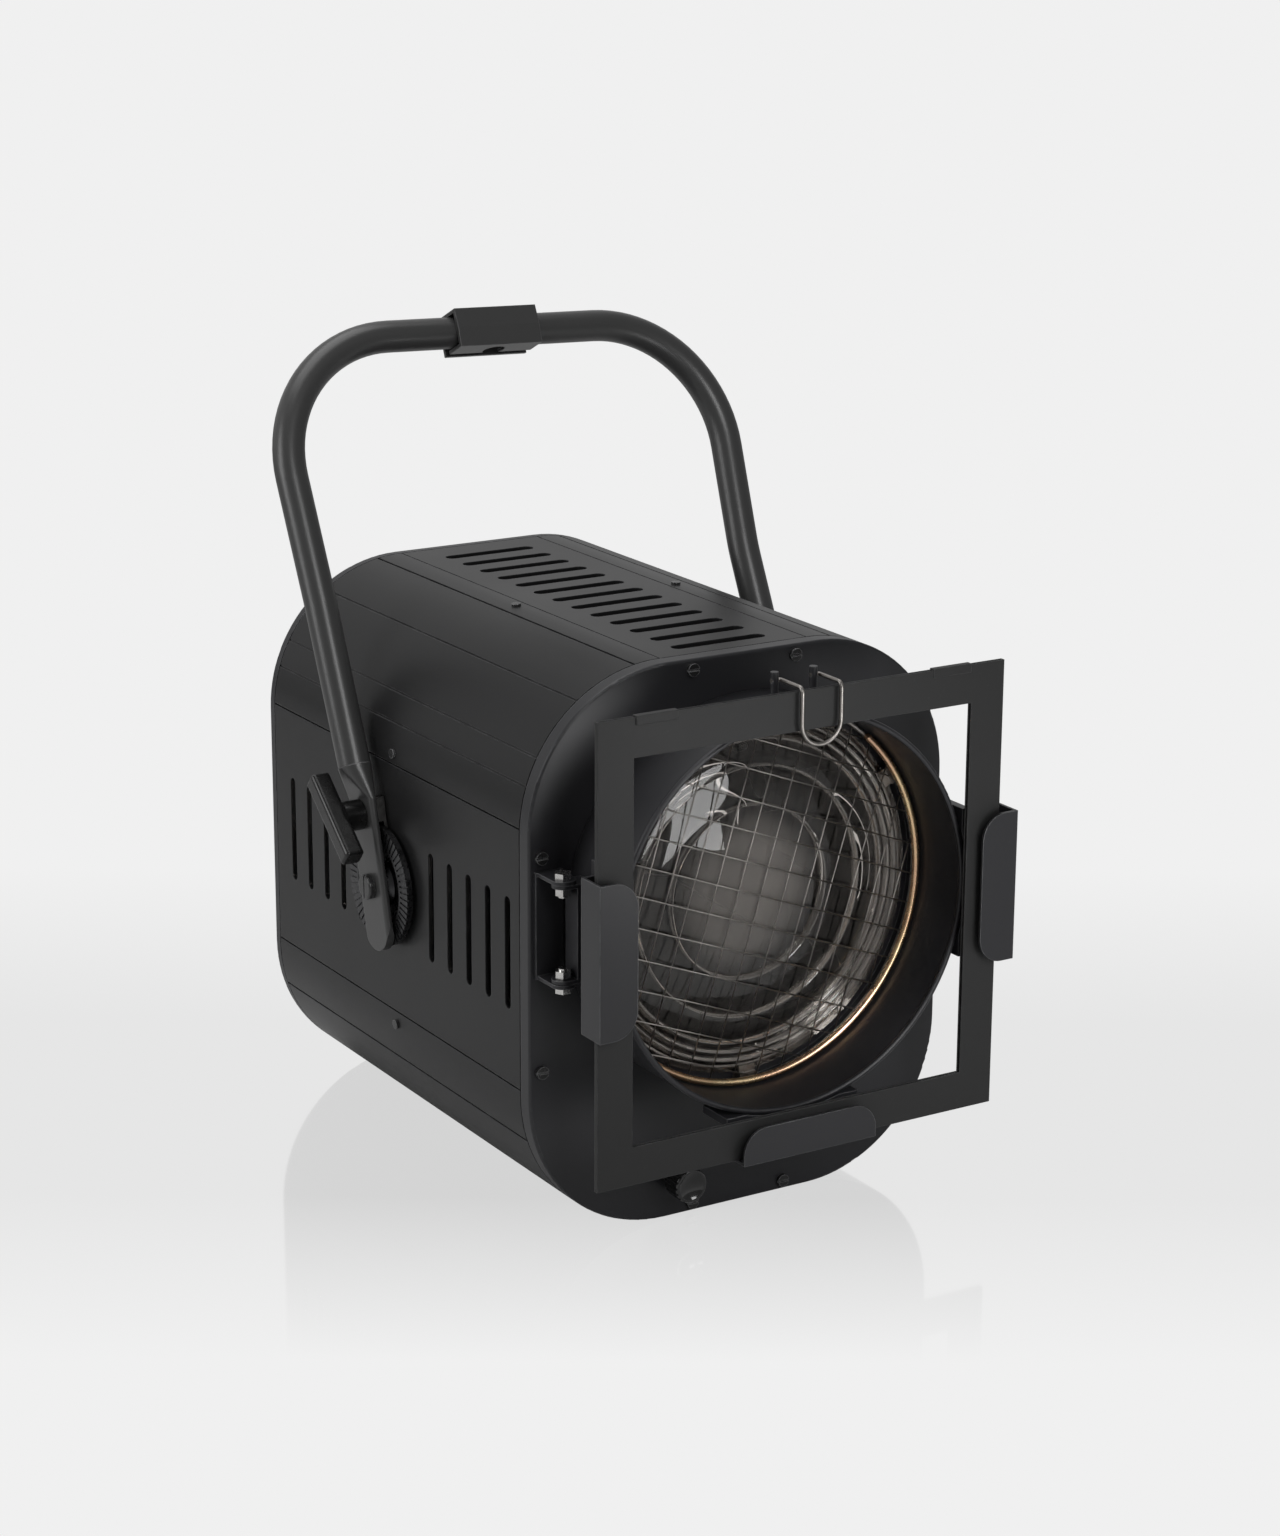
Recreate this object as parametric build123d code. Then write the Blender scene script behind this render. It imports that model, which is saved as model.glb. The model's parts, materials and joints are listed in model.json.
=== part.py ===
from build123d import *
import os
from math import atan2, cos, degrees, radians, sin

# Fresnel spotlight, millimetres. +X right, +Y to the back, +Z up.
# The origin is the middle of the flat underside; the lens looks along -Y.

# ---------------------------------------------------------------- driving dimensions
BODY_WIDTH = 256.0
BODY_HEIGHT = 305.0
CORNER_RADIUS = 82.0
BODY_FRONT = -150.0
BODY_REAR = 150.0
FRONT_SKIRT = 9.0            # depth of the front plate's turned-back edge
REAR_SKIRT = 6.0
PLATE_SHEET = 1.6
WALL = 2.4                   # extruded panel wall
SEAM = 0.45                  # half the open joint between two panels
TOP_SEAM_X = 45.0
UPPER_SEAM_Z = 226.5
LOWER_SEAM_Z = 85.5
TONGUE = 1.6                 # strip on a corner extrusion that laps behind its neighbour

SIDE_SLOT_WIDTH = 6.0
SIDE_SLOT_LENGTH = 61.0
SIDE_SLOT_PITCH = 20.8
TOP_SLOT_WIDTH = 8.0
TOP_SLOT_LENGTH = 57.0
TOP_SLOT_PITCH = 20.4
SLOT_COUNT = 13
SLOT_MIDDLE_Y = -3.0
BOTTOM_SLOT_COUNT = 12

OPTIC_Z = 177.0              # optical axis: lens, lamp and reflector
APERTURE_RADIUS = 98.0
DOOR_RADIUS = 107.0          # outside of the lens-door tube
DOOR_WALL = 1.6
DOOR_FRONT = -202.0
DOOR_BACK = -150.6
LENS_RADIUS = 100.0
LENS_BACK = -152.6
LENS_EDGE = 3.5              # thickness of the lens between its steps
LENS_STEP = 3.0
LENS_STEPS = (96.0, 92.0, 87.5, 82.5, 68.0, 47.0)   # outer radius of each prism and of the middle
GUARD_Y = -160.9
GUARD_RIM = 1.3              # half the depth of the guard's rim
WIRE = 1.0                   # grid wire diameter
ROW_PITCH = 15.75
ROW_SHIFT = -0.25
ROW_TURN = 21.0              # degrees that the grid's rows are turned in its plane
COLUMN_PITCH = 14.4
COLUMN_SHIFT = 5.75
COLUMN_TURN = 17.3
RING_WIRE = 2.0              # radius of the retaining ring's wire
RING_RADIUS = 102.6

LOWER_RUNNER_GAP = 123.0     # optical axis to the shelf that the frame stands on
FRAME_SIZE = 245.0           # colour frame, outside
FRAME_BAR = 20.6
FRAME_FRONT = -213.0
FRAME_THICK = 2.8
FRAME_X = -2.5               # the frame lies against the left runner
FRAME_Z = OPTIC_Z - LOWER_RUNNER_GAP + FRAME_SIZE / 2 + 0.05
RUNNER_LENGTH = 82.0
RUNNER_SHEET = 1.4
SIDE_RUNNER_GAP = 126.0      # optical axis to the inner face of a side runner
RUNNER_FRONT = -219.5
RUNNER_BACK = -201.2
SIDE_LIP = 22.0
LOWER_LIP = 19.5

PIVOT_Y = 6.0
PIVOT_Z = 157.0
DISC_RADIUS = 34.0
DISC_FACE_X = 133.6          # outer face of the toothed rim, from the middle
DISC_RIM = 3.4
ARM_INNER_X = 133.9
ARM_THICK = 4.6
ARM_WIDTH = 27.4
ARM_TILT = 14.5              # flattened ends, degrees back from upright
TUBE_TILT = 25.4             # tube loop, degrees back from upright
TUBE_RADIUS = 9.0
TUBE_WALL = 1.6
TUBE_FOOT_X = 138.3
LOOP_LEFT = (-139.0, 239.2)  # where the left leg and the top run would meet, in the loop's plane
LOOP_RIGHT = (147.5, 230.0)
LEG_BREAK = (137.5, 92.0)    # where each leg starts to lean, clear of the body's side
TUBE_BEND = 73.8
LEG_BEND = 160.0
KNEE = 66.0                  # pivot to the foot of the round tube
HANGER_X = 3.2               # middle of the hanging bracket
CLAMP_FROM_PIVOT = 39.5
HANGING_HOLE = 6.5           # radius, for an M12 hook-clamp bolt

HINGE_X = -117.5
HINGE_Y = -166.5
KNOB_X = -40.0
KNOB_Z = 23.0
LEAD = 12.0                  # carriage travel for one turn of the focus knob
CARRIAGE_FRONT = -38.0
CARRIAGE_REAR = 42.0

RUN = 0.05                   # radial running clearance
OUT = "parts"
os.makedirs(OUT, exist_ok=True)


# ---------------------------------------------------------------- helpers
def block(x0, x1, y0, y1, z0, z1):
    """Box between two corners."""
    size = Box(x1 - x0, y1 - y0, z1 - z0)
    return Pos((x0 + x1) / 2, (y0 + y1) / 2, (z0 + z1) / 2) * size


def rod_x(radius, x0, x1, y, z):
    return extrude(Plane(origin=(x0, y, z), z_dir=(1, 0, 0)) * Circle(radius), x1 - x0)


def rod_y(radius, y0, y1, x, z):
    return extrude(Plane(origin=(x, y0, z), x_dir=(1, 0, 0), z_dir=(0, 1, 0)) * Circle(radius), y1 - y0)


def rod_z(radius, z0, z1, x, y):
    return extrude(Plane(origin=(x, y, z0)) * Circle(radius), z1 - z0)


def hex_z(radius, z0, z1, x, y):
    return extrude(Plane(origin=(x, y, z0)) * RegularPolygon(radius, 6), z1 - z0)


def hex_x(radius, x0, x1, y, z):
    return extrude(Plane(origin=(x0, y, z), z_dir=(1, 0, 0)) * RegularPolygon(radius, 6), x1 - x0)


def hex_y(radius, y0, y1, x, z):
    place = Plane(origin=(x, y0, z), x_dir=(1, 0, 0), z_dir=(0, 1, 0))
    return extrude(place * RegularPolygon(radius, 6), y1 - y0)


def along_y(sketch, y0, y1, z):
    """A sketch drawn in X and Z, extruded from y0 to y1."""
    front_view = Plane(origin=(0, y1, z), x_dir=(1, 0, 0), z_dir=(0, -1, 0))
    return extrude(front_view * sketch, y1 - y0)


def outline(inset):
    """The body's rounded cross-section, drawn inside its true edge by inset."""
    return RectangleRounded(BODY_WIDTH - 2 * inset, BODY_HEIGHT - 2 * inset, CORNER_RADIUS - inset)


def hoop(inset_out, inset_in, y0, y1):
    ring = outline(inset_out) - outline(inset_in)
    return along_y(ring, y0, y1, z=BODY_HEIGHT / 2)


def mirror_x(shape):
    return mirror(shape, about=Plane.YZ)


def join(shapes):
    whole = shapes[0]
    for shape in shapes[1:]:
        whole = whole + shape
    return whole


def cut_all(shape, tools):
    for tool in tools:
        shape = shape - tool
    return shape


def save(name, *solids):
    """Write one node; several loose solids become one group."""
    found = []
    for item in solids:
        found.extend(item.solids())
    shape = found[0] if len(found) == 1 else Compound(children=found)
    export_step(shape, f"{OUT}/{name}.step")


# ---------------------------------------------------------------- body shell
SHELL_FRONT = BODY_FRONT + FRONT_SKIRT + 2 * SEAM
SHELL_REAR = BODY_REAR - REAR_SKIRT - 2 * SEAM
ARC_X = BODY_WIDTH / 2 - CORNER_RADIUS
ARC_TOP_Z = BODY_HEIGHT - CORNER_RADIUS
SCREW_R = 2.0
PLATE_SCREWS_TOP = [(-31.5, 299.5), (31.5, 299.5)]
PLATE_SCREWS_SIDE = [(-121.0, 213.0), (-121.0, 97.5), (121.0, 213.0), (121.0, 97.5)]
PLATE_SCREWS_BOTTOM = [(-29.0, 5.5), (29.0, 5.5)]
PLATE_SCREWS = PLATE_SCREWS_TOP + PLATE_SCREWS_SIDE + PLATE_SCREWS_BOTTOM


def screw_lugs(places):
    """Threaded lugs under a panel's two ends, for the end-plate screws."""
    lugs = []
    front_lug = (BODY_FRONT + PLATE_SHEET, SHELL_FRONT + 10)
    rear_lug = (SHELL_REAR - 10, BODY_REAR - PLATE_SHEET)
    for x, z in places:
        for y0, y1 in (front_lug, rear_lug):
            lug = block(x - 5, x + 5, y0, y1, z - 5, z + 5) & hoop(WALL - 0.4, 14, y0, y1)
            lugs.append(lug - rod_y(SCREW_R, y0 - 1, y1 + 1, x, z))
    return lugs


def panel(x0, x1, z0, z1, lug_places):
    shell = hoop(0, WALL, SHELL_FRONT, SHELL_REAR)
    flat = shell & block(x0, x1, SHELL_FRONT - 1, SHELL_REAR + 1, z0, z1)
    return join([flat] + screw_lugs(lug_places))


def slot_row(count, pitch, middle):
    return [middle + (i - (count - 1) / 2) * pitch for i in range(count)]


def flat_panel(z0, z1, places, count, middle):
    """Top or bottom panel with its row of crosswise cooling slots."""
    body = panel(-TOP_SEAM_X + SEAM, TOP_SEAM_X - SEAM, z0, z1, places)
    slot = SlotOverall(TOP_SLOT_LENGTH, TOP_SLOT_WIDTH)
    rows = slot_row(count, TOP_SLOT_PITCH, middle)
    return cut_all(body, [extrude(Plane(origin=(0, y, z0)) * slot, z1 - z0) for y in rows])


def left_side_panel():
    """Side panel; the three middle slot places are left solid for the tilt pivot."""
    body = panel(-BODY_WIDTH / 2 - 1, -110, LOWER_SEAM_Z + SEAM, UPPER_SEAM_Z - SEAM, PLATE_SCREWS_SIDE[:2])
    rows = slot_row(SLOT_COUNT, SIDE_SLOT_PITCH, SLOT_MIDDLE_Y)
    for index, y in enumerate(rows):
        if index in (5, 6, 7):
            continue
        place = Plane(origin=(-130, y, PIVOT_Z), x_dir=(0, 0, 1), z_dir=(1, 0, 0))
        body = body - extrude(place * SlotOverall(SIDE_SLOT_LENGTH, SIDE_SLOT_WIDTH), 12)
    return body - rod_x(5.1, -140, -110, PIVOT_Y, PIVOT_Z)


def groove(angle, width, depth, arc_z):
    """Lengthwise groove in a left corner extrusion, at an angle above the horizontal."""
    bar = Box(2 * depth, SHELL_REAR - SHELL_FRONT + 20, width)
    return Pos(-ARC_X, 0, arc_z) * Rot(0, angle, 0) * Pos(-CORNER_RADIUS, 0, 0) * bar


def screw_seat(angle, arc_z):
    """Place on the skin of a left corner, with -X pointing straight out of it."""
    return Pos(-ARC_X, HOOP_Y, arc_z) * Rot(0, angle, 0) * Pos(-CORNER_RADIUS, 0, 0)


HOOP_Y = SLOT_MIDDLE_Y + 1
HOOP_WIDTH = 16.0
UPPER_GROOVES = ((80, 1.6, 1.0), (54, 1.0, 0.6), (29, 1.0, 0.6), (18, 1.0, 0.6))   # angle, width, depth
LOWER_GROOVES = ((-18, 1.4, 0.9),)
UPPER_SCREWS = ((6.5, ARC_TOP_Z), (86.5, ARC_TOP_Z))                               # angle, height of arc
LOWER_SCREWS = ((-3.0, CORNER_RADIUS),)
TONGUE_LAP = 6.0             # how far a tongue reaches behind the neighbouring panel


def left_corner(z0, z1, grooves, screws):
    """Corner extrusion with lap tongues that close the open joints from inside."""
    edge_x = -TOP_SEAM_X
    skin = block(-130, edge_x - SEAM, SHELL_FRONT, SHELL_REAR, z0 + SEAM, z1 - SEAM)
    lap = block(-130, edge_x + TONGUE_LAP, SHELL_FRONT, SHELL_REAR, z0 - TONGUE_LAP, z1 + TONGUE_LAP)
    outer = hoop(0, WALL, SHELL_FRONT, SHELL_REAR) & skin
    inner = hoop(WALL, WALL + TONGUE, SHELL_FRONT + 12, SHELL_REAR - 12) & lap
    body = outer + inner
    arc_z = screws[0][1]
    for angle, width, depth in grooves:
        body = body - groove(angle, width, depth, arc_z)
    for angle, seat_z in screws:
        body = body - screw_seat(angle, seat_z) * Rot(0, 90, 0) * Cylinder(SCREW_R + RUN, 20)
    return body


def corner_screws():
    """Pan-head screws that hold the corner extrusions to the centre hoop."""
    screws = []
    for angle, arc_z in UPPER_SCREWS + LOWER_SCREWS:
        seat = screw_seat(angle, arc_z)
        head = seat * Pos(-0.6, 0, 0) * Rot(0, 90, 0) * Cylinder(2.6, 1.2)
        shank = seat * Pos(3.6, 0, 0) * Rot(0, 90, 0) * Cylinder(SCREW_R, 7.4)
        screw = head + shank
        screws.extend([screw, mirror_x(screw)])
    return screws


def centre_hoop():
    """Flat strip bent to the body section; the corner extrusions are screwed to it."""
    strip = hoop(WALL + TONGUE + 0.2, WALL + TONGUE + 2.2, HOOP_Y - HOOP_WIDTH / 2, HOOP_Y + HOOP_WIDTH / 2)
    for angle, arc_z in UPPER_SCREWS + LOWER_SCREWS:
        hole = screw_seat(angle, arc_z) * Rot(0, 90, 0) * Cylinder(SCREW_R, 30)
        strip = strip - hole - mirror_x(hole)
    pivot_gap = block(-140, -100, -30, 40, PIVOT_Z - 30, PIVOT_Z + 30)
    rod_gap = block(-60, 60, -30, 30, 3, 9)
    return strip - pivot_gap - mirror_x(pivot_gap) - rod_gap


def end_tray(y_face, y_edge):
    """Pressed end plate: flat face with its edge turned towards the panels."""
    if y_face < y_edge:
        solid = along_y(outline(0), y_face, y_edge, z=BODY_HEIGHT / 2)
        hollow = along_y(outline(PLATE_SHEET), y_face + PLATE_SHEET, y_edge, z=BODY_HEIGHT / 2)
        rim = solid.faces().sort_by(Axis.Y)[0].edges()
    else:
        solid = along_y(outline(0), y_edge, y_face, z=BODY_HEIGHT / 2)
        hollow = along_y(outline(PLATE_SHEET), y_edge, y_face - PLATE_SHEET, z=BODY_HEIGHT / 2)
        rim = solid.faces().sort_by(Axis.Y)[-1].edges()
    return fillet(rim, 1.5) - hollow


def front_plate():
    plate = end_tray(BODY_FRONT, BODY_FRONT + FRONT_SKIRT)
    plate = plate - rod_y(APERTURE_RADIUS, BODY_FRONT - 5, BODY_FRONT + 5, 0, OPTIC_Z)
    collar = rod_y(APERTURE_RADIUS, BODY_FRONT, BODY_FRONT + 7, 0, OPTIC_Z)
    collar = collar - rod_y(APERTURE_RADIUS - 1.4, BODY_FRONT - 1, BODY_FRONT + 8, 0, OPTIC_Z)
    plate = plate + collar
    for x, z in PLATE_SCREWS:
        plate = plate - rod_y(SCREW_R + RUN, BODY_FRONT - 5, BODY_FRONT + 5, x, z)
    return plate - rod_y(5.0, BODY_FRONT - 5, BODY_FRONT + 5, KNOB_X, KNOB_Z)


GLAND_X = 55.0
GLAND_Z = 45.0
CABLE_RADIUS = 5.0


def rear_plate():
    plate = end_tray(BODY_REAR, BODY_REAR - REAR_SKIRT)
    for x, z in PLATE_SCREWS:
        plate = plate - rod_y(SCREW_R + RUN, BODY_REAR - 5, BODY_REAR + 5, x, z)
    return plate - rod_y(8.0, BODY_REAR - 5, BODY_REAR + 5, GLAND_X, GLAND_Z)


def plate_screws(front):
    screws = []
    for x, z in PLATE_SCREWS:
        if front:
            head = rod_y(3.5, BODY_FRONT - 2.2, BODY_FRONT, x, z)
            shank = rod_y(SCREW_R, BODY_FRONT - 1, SHELL_FRONT + 4, x, z)
            slot = block(x - 4, x + 4, BODY_FRONT - 2.3, BODY_FRONT - 1.2, z - 0.5, z + 0.5)
        else:
            head = rod_y(3.5, BODY_REAR, BODY_REAR + 2.2, x, z)
            shank = rod_y(SCREW_R, SHELL_REAR - 4, BODY_REAR + 1, x, z)
            slot = block(x - 4, x + 4, BODY_REAR + 1.2, BODY_REAR + 2.3, z - 0.5, z + 0.5)
        screws.append(head + shank - slot)
    return screws


save("front_plate", front_plate())
save("rear_plate", rear_plate())
save("top_panel", flat_panel(280, BODY_HEIGHT + 1, PLATE_SCREWS_TOP, SLOT_COUNT, SLOT_MIDDLE_Y))
save("bottom_panel", flat_panel(-1, 20, PLATE_SCREWS_BOTTOM, BOTTOM_SLOT_COUNT, 0.0))
side = left_side_panel()
save("left_side_panel", side)
save("right_side_panel", mirror_x(side))
upper_corner = left_corner(UPPER_SEAM_Z, BODY_HEIGHT + 5, UPPER_GROOVES, UPPER_SCREWS)
lower_corner = left_corner(-5, LOWER_SEAM_Z, LOWER_GROOVES, LOWER_SCREWS)
save("upper_left_corner", upper_corner)
save("upper_right_corner", mirror_x(upper_corner))
save("lower_left_corner", lower_corner)
save("lower_right_corner", mirror_x(lower_corner))
save("centre_hoop", centre_hoop())
save("corner_screws", *corner_screws())
save("front_plate_screws", *plate_screws(True))
save("rear_plate_screws", *plate_screws(False))


# ---------------------------------------------------------------- tilt pivot on the housing
TEETH = 56


def tilt_disc(side_sign):
    """Dished steel disc with a toothed rim, standing off the side panel."""
    wall_x = BODY_WIDTH / 2
    face = DISC_FACE_X
    rim_back = face - DISC_RIM
    profile = Polyline(
        (wall_x, 5.1), (wall_x, 12), (wall_x + 0.8, 14), (wall_x + 0.8, 21.5), (rim_back, 24),
        (rim_back, DISC_RADIUS), (face, DISC_RADIUS), (face, 24), (wall_x + 2.4, 22), (wall_x + 2.4, 13),
        (face - 0.2, 11), (face - 0.2, 5.1), close=True)
    section = make_face(profile)
    disc = revolve(section, axis=Axis.X)
    notch = Pos(face, DISC_RADIUS, 0) * Rot(45, 0, 0) * Box(1.6, 1.3, 1.3)
    face_notch = Pos(face, DISC_RADIUS - 4.4, 0) * Box(1.2, 8.0, 1.1)
    for i in range(TEETH):
        turn = Rot(i * 360 / TEETH, 0, 0)
        disc = disc - turn * face_notch
        disc = disc - turn * notch
    disc = Pos(0, PIVOT_Y, PIVOT_Z) * disc
    return disc if side_sign > 0 else mirror_x(disc)


def left_pivot_bolt():
    outer = -(ARM_INNER_X + ARM_THICK)
    head = rod_x(7.0, outer - 3.9, outer - 0.3, PIVOT_Y, PIVOT_Z)
    head = fillet(head.faces().sort_by(Axis.X)[0].edges(), 1.2)
    slot = block(outer - 4.5, outer - 2.6, PIVOT_Y - 0.8, PIVOT_Y + 0.8, PIVOT_Z - 8, PIVOT_Z + 8)
    shank = rod_x(5.0, outer - 1, -115, PIVOT_Y, PIVOT_Z)
    return head - slot + shank


def right_pivot_bolt():
    outer = ARM_INNER_X + ARM_THICK
    washer = rod_x(10.0, outer + 0.3, outer + 1.9, PIVOT_Y, PIVOT_Z)
    head = hex_x(8.5, outer + 1.9, outer + 7.9, PIVOT_Y, PIVOT_Z)
    shank = rod_x(5.0, 115, outer + 2, PIVOT_Y, PIVOT_Z)
    return washer + head + shank


def pivot_plate():
    """Stiffener behind the left side panel, with the pivot bolt's nut."""
    inner = -(BODY_WIDTH / 2 - WALL)
    plate = block(inner, inner + 3, PIVOT_Y - 27, PIVOT_Y + 27, PIVOT_Z - 29, PIVOT_Z + 29)
    nut = hex_x(8.5, inner + 3, inner + 10, PIVOT_Y, PIVOT_Z)
    return plate + nut - rod_x(5.0, inner - 1, inner + 11, PIVOT_Y, PIVOT_Z)


save("left_tilt_disc", tilt_disc(-1))
save("right_tilt_disc", tilt_disc(1))
save("left_pivot_bolt", left_pivot_bolt())
save("right_pivot_bolt", right_pivot_bolt())
save("left_pivot_plate", pivot_plate())
save("right_pivot_plate", mirror_x(pivot_plate()))


# ---------------------------------------------------------------- yoke
ARM_DIR = (sin(radians(ARM_TILT)), cos(radians(ARM_TILT)))
KNEE_Y = PIVOT_Y + KNEE * ARM_DIR[0]
KNEE_Z = PIVOT_Z + KNEE * ARM_DIR[1]
LOOP_PLACE = Pos(0, KNEE_Y, KNEE_Z) * Rot(-TUBE_TILT, 0, 0)
ARM_PLACE = Pos(0, PIVOT_Y, PIVOT_Z) * Rot(-ARM_TILT, 0, 0)
ARM_MID_X = ARM_INNER_X + ARM_THICK / 2
FLAT_TOP = KNEE - 18.0       # where the flattened end starts to round out
FLAT_END = 22.0              # pivot to the centre of the rounded end


def yoke_arm():
    """Flattened left end of the tube with its rounding-out shoulder, placed at the pivot."""
    reach = FLAT_END + ARM_WIDTH / 2
    flat_section = Rot(0, 0, 90) * SlotOverall(ARM_WIDTH, ARM_THICK)
    strap = extrude(Pos(-ARM_MID_X, 0, -reach) * flat_section, reach + FLAT_TOP)
    body = block(-ARM_INNER_X - ARM_THICK - 1, -ARM_INNER_X + 1, -20, 20, -FLAT_END, FLAT_TOP)
    end = rod_x(ARM_WIDTH / 2, -ARM_INNER_X - ARM_THICK - 1, -ARM_INNER_X + 1, 0, -FLAT_END)
    low = ARM_PLACE * Pos(-ARM_MID_X, 0, FLAT_TOP) * flat_section
    high = LOOP_PLACE * Pos(-TUBE_FOOT_X, 0, 0) * Rot(0, 0, 90) * SlotOverall(
        2 * TUBE_RADIUS + 0.6, 2 * TUBE_RADIUS + 0.3)
    return ARM_PLACE * (strap & (body + end)) + loft([low, high])


TOP_LEAN = atan2(LOOP_LEFT[1] - LOOP_RIGHT[1], LOOP_RIGHT[0] - LOOP_LEFT[0])
HANGER_HEIGHT = LOOP_LEFT[1] - (HANGER_X - LOOP_LEFT[0]) * sin(TOP_LEAN) / cos(TOP_LEAN)
HANGER_PLACE = LOOP_PLACE * Pos(HANGER_X, 0, HANGER_HEIGHT) * Rot(0, degrees(TOP_LEAN), 0)
HANGER_LENGTH = 52.0


def yoke_tube():
    """Bent tube with both ends flattened, drilled for the pivots, the clamp and the hanging bolt."""
    path = FilletPolyline(
        (-TUBE_FOOT_X, 0, 0), (-LEG_BREAK[0], 0, LEG_BREAK[1]), (LOOP_LEFT[0], 0, LOOP_LEFT[1]),
        (LOOP_RIGHT[0], 0, LOOP_RIGHT[1]), (LEG_BREAK[0], 0, LEG_BREAK[1]), (TUBE_FOOT_X, 0, 0),
        radius=[LEG_BEND, TUBE_BEND, TUBE_BEND, LEG_BEND])
    start = Plane(origin=path @ 0, z_dir=path % 0)
    loop = sweep(start * (Circle(TUBE_RADIUS) - Circle(TUBE_RADIUS - TUBE_WALL)), path=path)
    arm = yoke_arm()
    whole = LOOP_PLACE * loop + arm + mirror_x(arm)
    bolt = HANGER_PLACE * Cylinder(HANGING_HOLE, 60)
    clamp = ARM_PLACE * rod_x(4.0 + RUN, -150, -120, 0, CLAMP_FROM_PIVOT)
    pivots = rod_x(5.0 + RUN, -150, 150, PIVOT_Y, PIVOT_Z)
    return whole - bolt - clamp - pivots


def hanging_bracket():
    """Folded sheet channel round the top run, drilled for the hook clamp's bolt."""
    half = TUBE_RADIUS + 0.15
    sheet = 2.0
    outer = Polyline(
        (-half - sheet, half + sheet), (half + sheet, half + sheet), (half + sheet, -half - sheet),
        (-half - sheet, -half - sheet), (-half - sheet - 0.9, 0), close=True)
    inner = Rectangle(2 * half, 2 * half)
    opening = Pos(half - 2.5, -half - sheet / 2) * Rectangle(5.0, sheet + 1)
    section = make_face(outer) - inner - opening
    side_view = Plane(origin=(-HANGER_LENGTH / 2, 0, 0), x_dir=(0, 1, 0), z_dir=(1, 0, 0))
    channel = extrude(side_view * section, HANGER_LENGTH)
    return HANGER_PLACE * (channel - Cylinder(HANGING_HOLE, 60))


JAW_TOP = FLAT_TOP - 0.2


def clamp_jaw():
    """Jaw behind the arm: grips the disc's rim when the T-handle is tightened."""
    back = BODY_WIDTH / 2 + 0.3
    rim_back = DISC_FACE_X - DISC_RIM
    plate = block(-rim_back + 0.1, -back, -10, 10, 25, JAW_TOP)
    heel = block(-ARM_INNER_X, -back, -10, 10, DISC_RADIUS + 0.6, JAW_TOP)
    jaw = plate + heel
    return ARM_PLACE * (jaw - rod_x(4.0 + RUN, -150, -120, 0, CLAMP_FROM_PIVOT))


T_BAR_TILT = 50.0
T_BAR_LENGTH = 54.0
T_BAR_X = (-148.2, -159.4)


def tilt_handle():
    """T-handle and its bolt."""
    outer = -(ARM_INNER_X + ARM_THICK)
    axis_y = PIVOT_Y + CLAMP_FROM_PIVOT * ARM_DIR[0]
    axis_z = PIVOT_Z + CLAMP_FROM_PIVOT * ARM_DIR[1]
    hub = rod_x(8.4, T_BAR_X[0] - 2, outer - 0.3, axis_y, axis_z)
    bolt = rod_x(4.0, outer - 2, -(BODY_WIDTH / 2 + 0.5), axis_y, axis_z)
    bar = Box(T_BAR_X[0] - T_BAR_X[1], 11.0, T_BAR_LENGTH)
    bar = fillet(bar.edges().filter_by(Axis.Z), 2.5)
    bar = fillet(bar.faces().sort_by(Axis.Z)[-1].edges() + bar.faces().sort_by(Axis.Z)[0].edges(), 1.5)
    bar = Pos(sum(T_BAR_X) / 2, axis_y, axis_z) * Rot(-T_BAR_TILT, 0, 0) * bar
    return hub + bolt + bar


save("yoke_tube", yoke_tube())
save("hanging_bracket", hanging_bracket())
save("clamp_jaw", clamp_jaw())
save("tilt_handle", tilt_handle())


# ---------------------------------------------------------------- lens door
def door_ring():
    """Tube with a rolled front edge, a lens seat and a small rear flange."""
    mouth = DOOR_FRONT
    inside = DOOR_RADIUS - DOOR_WALL
    tube = rod_y(DOOR_RADIUS, mouth + 1.6, DOOR_BACK, 0, OPTIC_Z)
    tube = tube - rod_y(inside, mouth, DOOR_BACK + 1, 0, OPTIC_Z)
    seat = rod_y(inside + 0.5, LENS_BACK, LENS_BACK + 1.6, 0, OPTIC_Z)
    seat = seat - rod_y(LENS_RADIUS - 6, LENS_BACK - 1, LENS_BACK + 3, 0, OPTIC_Z)
    bead_circle = Pos(0, mouth + 1.6, OPTIC_Z) * Plane.XY * Pos(DOOR_RADIUS - 0.8, 0) * Circle(1.6)
    bead = revolve(bead_circle, axis=Axis((0, mouth, OPTIC_Z), (0, 1, 0)))
    return tube + seat + bead


def fresnel_lens():
    """Stepped lens: flat back, concentric prisms and a domed middle on the front."""
    points = [(0, 0), (LENS_RADIUS, 0), (LENS_RADIUS, LENS_EDGE)]
    for outer, inner in zip(LENS_STEPS, LENS_STEPS[1:] + (0.0,)):
        points.append((outer, LENS_EDGE))
        points.append((inner + 0.6 if inner else 0.0, LENS_EDGE + LENS_STEP))
    lens = revolve(make_face(Polyline(*points, close=True)), axis=Axis.Y)
    return Pos(0, LENS_BACK - 0.1, OPTIC_Z) * Rot(0, 0, 180) * lens


def retaining_ring():
    """Open spring ring that holds the guard and lens against the seat."""
    circle = Plane.XY * Pos(RING_RADIUS, 0) * Circle(RING_WIRE)
    ring = revolve(circle, axis=Axis.Y, revolution_arc=318)
    return Pos(0, GUARD_Y - GUARD_RIM - RING_WIRE - 0.05, OPTIC_Z) * Rot(0, -48, 0) * ring


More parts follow.
